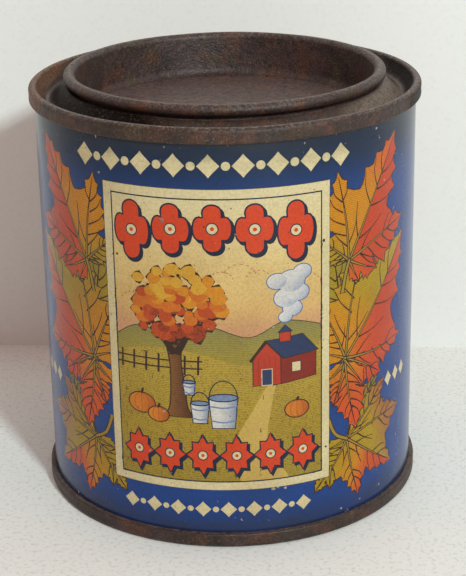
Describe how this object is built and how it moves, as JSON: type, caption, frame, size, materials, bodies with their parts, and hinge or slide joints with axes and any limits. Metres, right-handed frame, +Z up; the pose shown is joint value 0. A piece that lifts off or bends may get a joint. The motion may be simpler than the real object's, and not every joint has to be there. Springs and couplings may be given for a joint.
{
  "type": "lever-lid tin can",
  "caption": "Round tinplate can with seamed ends, a dished press-in lid and a printed wall; stands upright and holds a soft spread.",
  "frame": {"origin": "middle of the base, on the surface that the can stands on", "axes": "+Z up along the can's axis; -Y is the front of the print"},
  "size_m": [0.0782, 0.0782, 0.0872],
  "materials": {
    "printed_wall": "varnished lithographed print, worn",
    "base_metal": "aged tinplate with brown rust",
    "ring_metal": "aged tinplate with brown rust",
    "lid_metal": "aged tinplate with brown rust"
  },
  "bodies": {
    "root": {"tin_body": "printed_wall", "bottom_end": "base_metal", "top_ring": "ring_metal", "lid": "lid_metal"}
  },
  "joints": []
}
